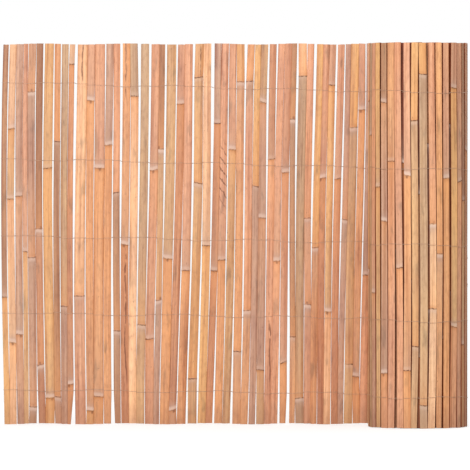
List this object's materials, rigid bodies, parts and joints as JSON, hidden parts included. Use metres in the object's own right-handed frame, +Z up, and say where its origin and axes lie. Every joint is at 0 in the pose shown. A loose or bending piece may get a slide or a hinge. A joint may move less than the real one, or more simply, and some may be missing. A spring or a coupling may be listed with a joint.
{
  "type": "bamboo fence panel",
  "caption": "Split bamboo fencing, partly unrolled: upright slats tied by rows of wire, with a flat stretch beside the standing roll that holds the rest.",
  "frame": {"origin": "on the ground, below the middle of the outer box", "axes": "+X along the flat stretch from its free edge to the roll, +Z up the slats, the slats' skin faces -Y"},
  "size_m": [1.2227, 0.2684, 1.0032],
  "materials": {
    "bamboo": "dry split bamboo, satin skin",
    "tie_wire": "dull galvanised wire"
  },
  "bodies": {
    "root": {"slat_01": "bamboo", "slat_02": "bamboo", "slat_03": "bamboo", "slat_04": "bamboo", "slat_05": "bamboo", "slat_06": "bamboo", "slat_07": "bamboo", "slat_08": "bamboo", "slat_09": "bamboo", "slat_10": "bamboo", "slat_11": "bamboo", "slat_12": "bamboo", "slat_13": "bamboo", "slat_14": "bamboo", "slat_15": "bamboo", "slat_16": "bamboo", "slat_17": "bamboo", "slat_18": "bamboo", "slat_19": "bamboo", "slat_20": "bamboo", "slat_21": "bamboo", "slat_22": "bamboo", "slat_23": "bamboo", "slat_24": "bamboo", "slat_25": "bamboo", "slat_26": "bamboo", "slat_27": "bamboo", "slat_28": "bamboo", "slat_29": "bamboo", "slat_30": "bamboo", "slat_31": "bamboo", "slat_32": "bamboo", "slat_33": "bamboo", "slat_34": "bamboo", "slat_35": "bamboo", "slat_36": "bamboo", "slat_37": "bamboo", "slat_38": "bamboo", "slat_39": "bamboo", "slat_40": "bamboo", "slat_41": "bamboo", "slat_42": "bamboo", "slat_43": "bamboo", "slat_44": "bamboo", "slat_45": "bamboo", "slat_46": "bamboo", "slat_47": "bamboo", "slat_48": "bamboo", "slat_49": "bamboo", "slat_50": "bamboo", "slat_51": "bamboo", "roll_turn_1": "bamboo", "roll_turn_2": "bamboo", "roll_turn_3": "bamboo", "roll_turn_4": "bamboo", "tie_wire_1": "tie_wire", "tie_wire_2": "tie_wire", "tie_wire_3": "tie_wire", "tie_wire_4": "tie_wire", "tie_wire_5": "tie_wire"}
  },
  "joints": []
}
